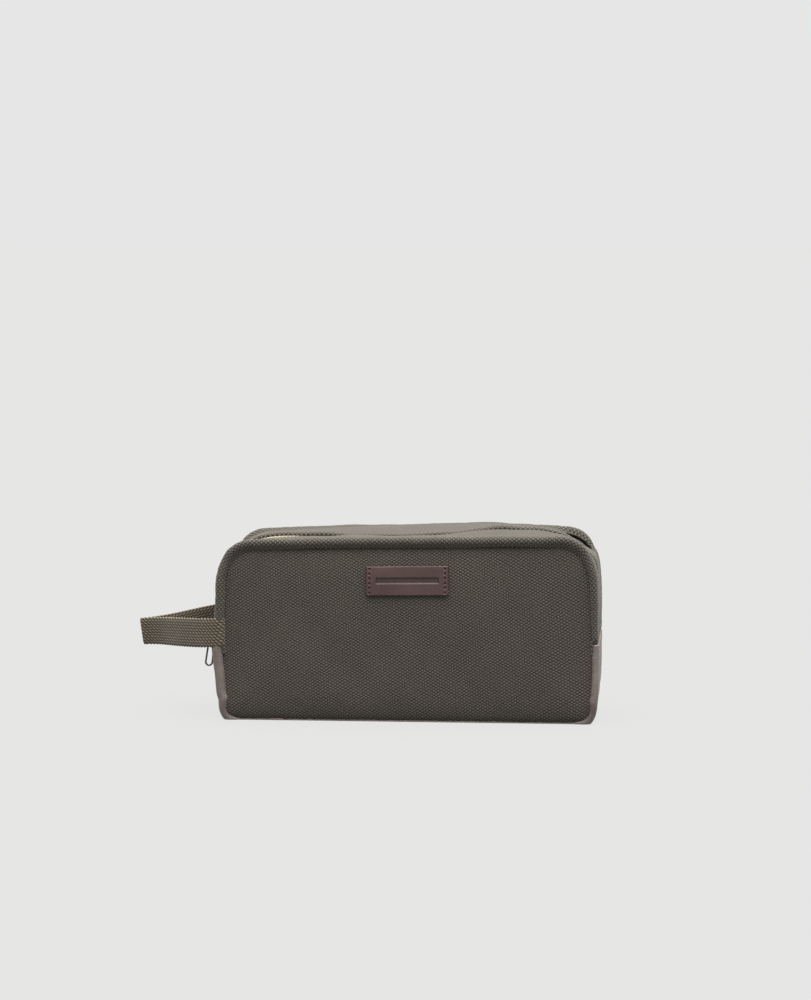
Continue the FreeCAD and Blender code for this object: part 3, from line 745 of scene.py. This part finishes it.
class Nodes:
    """A short way to write shader nodes."""

    def __init__(self, name):
        self.material = bpy.data.materials.new(name)
        self.material.use_nodes = True
        self.tree = self.material.node_tree
        self.shader = self.tree.nodes["Principled BSDF"]

    def add(self, kind, **settings):
        node = self.tree.nodes.new("ShaderNode" + kind)
        for key, value in settings.items():
            setattr(node, key, value)
        return node

    def put(self, socket, value):
        if hasattr(value, "is_output"):
            self.tree.links.new(value, socket)
        else:
            socket.default_value = value

    def set(self, **values):
        """Plain values on the shader's own sockets."""
        for key, value in values.items():
            self.shader.inputs[key.replace("_", " ")].default_value = value

    def math(self, operation, a, b=None, clamp=False):
        node = self.add("Math", operation=operation, use_clamp=clamp)
        self.put(node.inputs[0], a)
        if b is not None:
            self.put(node.inputs[1], b)
        return node.outputs[0]

    def noise(self, vector, scale, detail=2.0, rough=0.5):
        node = self.add("TexNoise")
        self.put(node.inputs["Vector"], vector)
        node.inputs["Scale"].default_value = scale
        node.inputs["Detail"].default_value = detail
        node.inputs["Roughness"].default_value = rough
        return node.outputs["Fac"]

    def ramp(self, value, stops):
        node = self.add("ValToRGB")
        self.put(node.inputs["Fac"], value)
        elements = node.color_ramp.elements
        while len(elements) < len(stops):
            elements.new(0.5)
        for element, (place, colour) in zip(elements, stops):
            element.position = place
            element.color = (*colour, 1.0)
        return node.outputs["Color"]

    def mix(self, factor, a, b):
        node = self.add("Mix", data_type="RGBA")
        self.put(node.inputs[0], factor)
        self.put(node.inputs[6], a if hasattr(a, "is_output") else (*a, 1.0))
        self.put(node.inputs[7], b if hasattr(b, "is_output") else (*b, 1.0))
        return node.outputs[2]

    def span(self, value, low, high, new_low, new_high):
        node = self.add("MapRange")
        self.put(node.inputs["Value"], value)
        for key, number in zip(("From Min", "From Max", "To Min", "To Max"), (low, high, new_low, new_high)):
            node.inputs[key].default_value = number
        return node.outputs["Result"]

    def bump(self, height, distance, strength=1.0):
        node = self.add("Bump")
        self.put(node.inputs["Height"], height)
        node.inputs["Distance"].default_value = distance
        node.inputs["Strength"].default_value = strength
        self.tree.links.new(node.outputs["Normal"], self.shader.inputs["Normal"])

    def brightness(self, colour, value):
        node = self.add("HueSaturation")
        self.put(node.inputs["Color"], colour)
        self.put(node.inputs["Value"], value)
        return node.outputs["Color"]

    def cloth(self):
        """Cloth coordinates in metres: as a vector, along and across."""
        place = self.add("UVMap", uv_map="Weave").outputs["UV"]
        split = self.add("SeparateXYZ")
        self.put(split.inputs[0], place)
        return place, split.outputs["X"], split.outputs["Y"]

    def turned(self, u, v, degrees):
        """Cloth coordinates turned by a few degrees."""
        c, s = math.cos(math.radians(degrees)), math.sin(math.radians(degrees))
        first = self.math("ADD", self.math("MULTIPLY", u, c), self.math("MULTIPLY", v, s))
        second = self.math("SUBTRACT", self.math("MULTIPLY", v, c), self.math("MULTIPLY", u, s))
        return first, second

    def humps(self, u, v, pitch_u, pitch_v, shift_u, shift_v, fat_u, fat_v):
        """Round humps on a lattice: 1 in the middle of each, 0 from fat_u and fat_v away."""
        total = None
        for coordinate, size, shift, fat in ((u, pitch_u, shift_u, fat_u), (v, pitch_v, shift_v, fat_v)):
            cell = self.math("FRACT", self.math("DIVIDE", self.math("ADD", coordinate, shift), size))
            reach = self.math("MULTIPLY", self.math("SUBTRACT", cell, 0.5), size / fat)
            square = self.math("MULTIPLY", reach, reach)
            total = square if total is None else self.math("ADD", total, square)
        return self.math("SUBTRACT", 1.0, total, clamp=True)


def times(colour, factor):
    return tuple(factor * c for c in colour)


def woven(name, ground, thread, pitch_u, pitch_v, turn=0.0, sheen=0.08, shade_height=None):
    """Coarse plain weave: staggered thread humps over a dark ground, faded in broad patches.
    Its lower edge is darkened with painted shade, up to the height given as its last argument, standing in
    for the contact shadow."""
    n = Nodes(name)
    place, u, v = n.cloth()
    # Painted shade: darker towards the cloth's lower edge, standing in for the contact shadow under the bag.
    painted_foot_shade = n.span(v, 0.0, shade_height, 0.4, 1.0) if shade_height else 1.0
    u, v = n.turned(u, v, turn)
    bend = n.math("MULTIPLY", n.math("SUBTRACT", n.noise(place, 150.0, 1.0), 0.5), 0.9 * MM)
    slip = n.math("MULTIPLY", n.math("SUBTRACT", n.noise(place, 230.0, 1.0), 0.5), 0.7 * MM)
    u, v = n.math("ADD", u, bend), n.math("ADD", v, slip)
    fat_u, fat_v = 0.62 * pitch_u, 0.42 * pitch_v
    first = n.humps(u, v, 2 * pitch_u, pitch_v, 0.0, 0.0, fat_u, fat_v)
    second = n.humps(u, v, 2 * pitch_u, pitch_v, pitch_u, pitch_v / 2, fat_u, fat_v)
    hump = n.math("MAXIMUM", first, second)
    fine = n.noise(place, 2600.0, 2.0, 0.6)
    fleck = n.noise(place, 520.0, 1.0)
    broad = n.noise(place, 30.0, 3.0, 0.55)
    colour = n.ramp(n.math("POWER", hump, 0.85), [(0.0, ground), (0.95, thread)])
    colour = n.mix(n.span(fleck, 0.35, 0.7, 0.0, 0.5), colour, times(thread, 0.6))
    value = n.math("MULTIPLY", n.span(broad, 0.25, 0.75, 0.91, 1.09),
                   n.span(fine, 0.2, 0.8, 0.86, 1.14))
    value = n.math("MULTIPLY", value, painted_foot_shade)
    n.put(n.shader.inputs["Base Color"], n.brightness(colour, value))
    n.set(Sheen_Weight=sheen, Sheen_Roughness=0.5, Specular_IOR_Level=0.2)
    n.shader.inputs["Sheen Tint"].default_value = (0.8, 0.8, 0.72, 1.0)
    n.put(n.shader.inputs["Roughness"], n.span(hump, 0.0, 1.0, 0.95, 0.8))
    n.bump(n.math("ADD", hump, n.math("MULTIPLY", fine, 0.2)), 0.32 * MM)
    return n.material


def leather(name, dark, pale, roughness=0.5, bar=None):
    """Smooth leather with fine grain, faint mottling and paler wear. bar is the half size of a
    pressed bar, which is burnished darker."""
    n = Nodes(name)
    place, u, v = n.cloth()
    cell = n.add("TexVoronoi", feature="DISTANCE_TO_EDGE")
    n.put(cell.inputs["Vector"], place)
    cell.inputs["Scale"].default_value = 1150.0
    crease = n.span(cell.outputs["Distance"], 0.0, 0.16, 0.0, 1.0)
    fine = n.noise(place, 900.0, 3.0, 0.6)
    broad = n.noise(place, 45.0, 4.0, 0.6)
    colour = n.ramp(broad, [(0.3, dark), (0.72, pale)])
    colour = n.mix(n.span(crease, 0.0, 1.0, 0.3, 0.0), colour, times(dark, 0.5))
    if bar is not None:
        beyond = n.math("MAXIMUM", n.math("SUBTRACT", n.math("ABSOLUTE", u), bar[0]),
                        n.math("SUBTRACT", n.math("ABSOLUTE", v), bar[1]))
        colour = n.mix(n.span(beyond, -0.3 * MM, 0.3 * MM, 0.4, 0.0), colour, times(dark, 0.3))
    n.put(n.shader.inputs["Base Color"], colour)
    n.set(Specular_IOR_Level=0.45)
    n.put(n.shader.inputs["Roughness"], n.span(fine, 0.25, 0.75, roughness - 0.07, roughness + 0.1))
    n.bump(n.math("ADD", n.math("MULTIPLY", crease, 0.6), n.math("MULTIPLY", fine, 0.8)), 0.05 * MM)
    return n.material


def webbing_cloth():
    """Chunky ribbed yarn: the mesh holds the ribs, and this adds strands and tone."""
    n = Nodes("khaki_webbing")
    place, u, v = n.cloth()
    slant = n.math("DIVIDE", n.math("SUBTRACT", u, v), RIB)
    row = n.math("ABSOLUTE", n.math("SINE", n.math("MULTIPLY", slant, math.pi)))
    cross = n.math("ABSOLUTE", n.math("COSINE", n.math("DIVIDE", v, YARN / math.pi)))
    yarn = n.math("MULTIPLY", n.math("POWER", row, 1.1), n.span(cross, 0.0, 1.0, 0.3, 1.0))
    fine = n.noise(place, 2400.0, 2.0, 0.6)
    broad = n.noise(place, 60.0, 2.0)
    colour = n.ramp(yarn, [(0.12, (0.008, 0.0065, 0.005)), (0.5, (0.052, 0.040, 0.026)),
                           (0.9, (0.135, 0.107, 0.072))])
    value = n.math("MULTIPLY", n.span(fine, 0.2, 0.8, 0.8, 1.2), n.span(broad, 0.3, 0.7, 0.92, 1.08))
    n.put(n.shader.inputs["Base Color"], n.brightness(colour, value))
    n.set(Roughness=0.85, Sheen_Weight=0.15, Sheen_Roughness=0.5, Specular_IOR_Level=0.2)
    n.bump(n.math("ADD", yarn, n.math("MULTIPLY", fine, 0.25)), 0.25 * MM)
    return n.material


def thin_cloth(name, base, pitch, relief=0.06):
    """Fine plain cloth: lining, tape or binding."""
    n = Nodes(name)
    place, u, v = n.cloth()
    warp = n.math("ABSOLUTE", n.math("SINE", n.math("DIVIDE", u, pitch / math.pi)))
    weft = n.math("ABSOLUTE", n.math("SINE", n.math("DIVIDE", v, pitch / math.pi)))
    grid = n.math("MULTIPLY", n.math("ADD", warp, weft), 0.5)
    broad = n.noise(place, 40.0, 3.0)
    fine = n.noise(place, 3000.0, 1.0)
    colour = n.ramp(grid, [(0.1, times(base, 0.55)), (0.9, times(base, 1.15))])
    value = n.math("MULTIPLY", n.span(broad, 0.3, 0.7, 0.9, 1.1), n.span(fine, 0.2, 0.8, 0.9, 1.1))
    n.put(n.shader.inputs["Base Color"], n.brightness(colour, value))
    n.set(Roughness=0.8, Sheen_Weight=0.2, Sheen_Roughness=0.4, Specular_IOR_Level=0.25)
    n.bump(grid, relief * MM)
    return n.material


def ribbed_cloth(name, base, pitch):
    """Elastic: lengthwise ribs with fine cross threads."""
    n = Nodes(name)
    place, u, v = n.cloth()
    rib = n.math("ABSOLUTE", n.math("SINE", n.math("DIVIDE", v, pitch / math.pi)))
    thread = n.math("ABSOLUTE", n.math("SINE", n.math("DIVIDE", u, 0.5 * MM / math.pi)))
    n.put(n.shader.inputs["Base Color"], n.ramp(rib, [(0.1, times(base, 0.5)), (0.9, base)]))
    n.set(Roughness=0.8, Sheen_Weight=0.2, Specular_IOR_Level=0.25)
    n.bump(n.math("ADD", rib, n.math("MULTIPLY", thread, 0.25)), 0.15 * MM)
    return n.material


def foam_material():
    """Grey foam with open pores."""
    n = Nodes("grey_foam")
    place, u, v = n.cloth()
    pores = n.noise(place, 1300.0, 3.0, 0.7)
    colour = n.ramp(pores, [(0.3, (0.05, 0.05, 0.05)), (0.7, (0.10, 0.10, 0.10))])
    n.put(n.shader.inputs["Base Color"], colour)
    n.set(Roughness=0.95, Specular_IOR_Level=0.1)
    n.bump(pores, 0.3 * MM)
    return n.material


def metal(name, dark, bright, roughness=0.34):
    """Antique metal: brighter and smoother in patches."""
    n = Nodes(name)
    place = n.add("TexCoord").outputs["Object"]
    broad = n.noise(place, 260.0, 3.0, 0.6)
    n.put(n.shader.inputs["Base Color"], n.ramp(broad, [(0.3, dark), (0.65, bright)]))
    n.set(Metallic=1.0)
    n.put(n.shader.inputs["Roughness"], n.span(broad, 0.3, 0.7, roughness + 0.12, roughness - 0.06))
    n.bump(n.noise(place, 2400.0, 2.0), 0.02 * MM, 0.5)
    return n.material


def thread_material(name, colour):
    """Twisted sewing thread."""
    n = Nodes(name)
    place = n.add("TexCoord").outputs["Object"]
    twist = n.add("TexWave", wave_type="BANDS", bands_direction="DIAGONAL")
    n.put(twist.inputs["Vector"], place)
    twist.inputs["Scale"].default_value = 900.0
    strands = n.ramp(twist.outputs["Fac"], [(0.1, times(colour, 0.6)), (0.9, colour)])
    n.put(n.shader.inputs["Base Color"], strands)
    n.set(Roughness=0.7, Sheen_Weight=0.2)
    n.bump(twist.outputs["Fac"], 0.05 * MM)
    return n.material


# ---------------------------------------------------------------- studio

FLOOR_ALBEDO = 0.012
FLOOR_GLOW = 0.736
BACKGROUND = 0.791
KEY = 13.0


def floor_material():
    """Pale studio floor: mostly its own even glow, so that shadows stay faint."""
    n = Nodes("studio_floor")
    n.shader.inputs["Base Color"].default_value = (FLOOR_ALBEDO,) * 3 + (1.0,)
    n.set(Roughness=1.0, Specular_IOR_Level=0.0, Emission_Strength=FLOOR_GLOW)
    n.shader.inputs["Emission Color"].default_value = (1.0, 0.995, 0.99, 1.0)
    return n.material


def add_studio():
    world = bpy.data.worlds.new("studio")
    bpy.context.scene.world = world
    world.use_nodes = True
    back = world.node_tree.nodes["Background"]
    back.inputs[0].default_value = (BACKGROUND, BACKGROUND, BACKGROUND * 0.998, 1.0)
    back.inputs[1].default_value = 1.0
    add_sun("softbox", (0.10, -0.12, 1.0), 80, KEY)
    size = 40.0
    corners = [(-size, -size, 0), (size, -size, 0), (size, size, 0), (-size, size, 0)]
    floor = new_mesh("studio_floor", corners, [(0, 1, 2, 3)])
    paint(floor, floor_material())


def add_sun(name, way, spread, strength):
    """An even, very soft light that shines from the direction way."""
    data = bpy.data.lights.new(name, "SUN")
    data.angle = math.radians(spread)
    data.energy = strength
    lamp = bpy.data.objects.new(name, data)
    bpy.context.scene.collection.objects.link(lamp)
    lamp.rotation_mode = "QUATERNION"
    lamp.rotation_quaternion = (-Vector(way)).to_track_quat("-Z", "Y")


def add_camera():
    data = bpy.data.cameras.new("camera")
    camera = bpy.data.objects.new("camera", data)
    bpy.context.scene.collection.objects.link(camera)
    azimuth, elevation, distance = math.radians(5.0), math.radians(7.45), 2.2
    back = Vector((math.sin(azimuth) * math.cos(elevation),
                   -math.cos(azimuth) * math.cos(elevation), math.sin(elevation)))
    camera.location = Vector((0.0, -0.042, 0.062)) + back * distance
    aim = Vector((0.0002, -0.042, 0.1552))
    camera.rotation_mode = "QUATERNION"
    camera.rotation_quaternion = (aim - camera.location).to_track_quat("-Z", "Y")
    data.lens = 114.3
    data.clip_start = 0.05
    data.clip_end = 100.0
    bpy.context.scene.camera = camera
    bpy.context.scene.view_settings.view_transform = "Standard"


def paint(piece, material):
    """Gives a piece its only material."""
    piece.data.materials.clear()
    piece.data.materials.append(material)


def place(piece, material, slot, *nodes):
    """Gives a piece its material and hides the CAD nodes it stands for."""
    paint(piece, material)
    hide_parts(*nodes)
    return piece


def sewn(piece):
    """Reads a piece's cloth coordinates; nothing is done with them."""
    layer = piece.data.uv_layers["Weave"]
    weave = np.zeros(2 * len(layer.data), np.float32)
    layer.data.foreach_get("uv", weave)


# ---------------------------------------------------------------- build

PITCH_U, PITCH_V = 1.75 * MM, 2.14 * MM
STRIP_PITCH = 0.92  # the strips' weave is this much finer
CANVAS_DARK, CANVAS_PALE = (0.0085, 0.0074, 0.0060), (0.069, 0.060, 0.0475)
# The panels' lowest 5 mm get painted shade for the contact shadow.
canvas = woven("olive_canvas", CANVAS_DARK, times(CANVAS_PALE, 0.96), PITCH_U, PITCH_V,
               turn=3.0, shade_height=5 * MM)
strip_canvas = woven("olive_canvas_strip", CANVAS_DARK, times(CANVAS_PALE, 1.1),
                     PITCH_U * STRIP_PITCH, PITCH_V * STRIP_PITCH, sheen=0.12)
base_leather = leather("brown_leather", (0.070, 0.052, 0.045), (0.125, 0.100, 0.088))
label_leather = leather("label_leather", (0.030, 0.0135, 0.0115), (0.048, 0.023, 0.020),
                        roughness=0.42, bar=BAR_HALF)
tape_cloth = thin_cloth("khaki_tape", (0.21, 0.18, 0.135), 0.7 * MM)
lining_cloth = thin_cloth("grey_lining", (0.075, 0.075, 0.068), 0.35 * MM, 0.03)
binding_cloth = thin_cloth("black_binding", (0.03, 0.03, 0.028), 0.6 * MM)
elastic_cloth = ribbed_cloth("black_elastic", (0.035, 0.035, 0.035), 1.1 * MM)
foam = foam_material()
brass = metal("antique_brass", (0.20, 0.15, 0.08), (0.42, 0.33, 0.19))
dark_metal = metal("gunmetal", (0.05, 0.045, 0.04), (0.17, 0.155, 0.135), 0.38)
slider_metal = metal("khaki_metal", (0.09, 0.08, 0.055), (0.26, 0.235, 0.17), 0.4)
label_thread = thread_material("label_thread", (0.02, 0.008, 0.008))

for half, side in (("front", -1), ("rear", 1)):
    seed = 11 if side < 0 else 21
    pieces = [
        place(bag_panel(half + "_canvas_panel", side, PANEL_SEED[side]), canvas, "canvas", half + "_panel"),
        place(zip_strip(half + "_zip_strip", side, seed), strip_canvas, "canvas", half + "_zip_gusset"),
        place(zip_tape(half + "_zip_tape", side), tape_cloth, "zip_tape", "zipper_tape_" + half),
        place(zip_teeth(half + "_zip_teeth", side), brass, "zip_metal", "zipper_teeth_" + half),
        place(end_cloth(half + "_end_lining", side), lining_cloth, "lining", half + "_gusset_lining"),
        place(inner_layer(half + "_foam_pad", side, 6.0 * MM, 1.5 * MM, 1.1 * MM), foam, "foam",
              half + "_interlining"),
        place(inner_layer(half + "_lining_cloth", side, 6.1 * MM, 2.8 * MM, LINING), lining_cloth, "lining",
              half + "_lining"),
        place(seam_tape(half + "_seam_tape", side), binding_cloth, "binding", half + "_seam_binding"),
    ]
    if side < 0:
        pieces.append(place(label_patch(), label_leather, "label_leather", "leather_label"))
        pieces.append(place(label_threads(), label_thread, "thread", "label_stitching"))
        pocket = wall_patch("pocket_cloth", -1, pocket_low, pocket_high, 3.5 * MM, 0.6 * MM, 1.2 * MM, 5)
        pieces.append(place(pocket, lining_cloth, "lining", "slip_pocket"))
    else:
        elastic = wall_patch("elastic_band", 1, elastic_low, elastic_high, 3.5 * MM, 0.9 * MM, 0.5 * MM, 6)
        pieces.append(place(elastic, elastic_cloth, "elastic", "cable_elastic"))
    for piece in pieces:
        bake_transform(piece)
        if piece.name.endswith("_foam_pad"):
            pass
        elif not piece.name.endswith(("_zip_teeth", "_threads")):
            sewn(piece)

band = place(leather_band(), base_leather, "base_leather", "base_gusset")
base_layer = place(base_cloth(), lining_cloth, "lining", "base_lining")
for piece in (band, base_layer):
    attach(piece, "base")
    sewn(piece)
for name in ("slider_body", "zipper_top_stops", "zipper_bottom_stop"):
    paint(bpy.data.objects[name], slider_metal)
for name in ("pull_link", "wire_pull"):
    paint(bpy.data.objects[name], dark_metal)

strap, strap_length = webbing_loop()
place(strap, webbing_cloth(), "webbing", "webbing_handle")
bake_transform(strap)

add_studio()
add_camera()
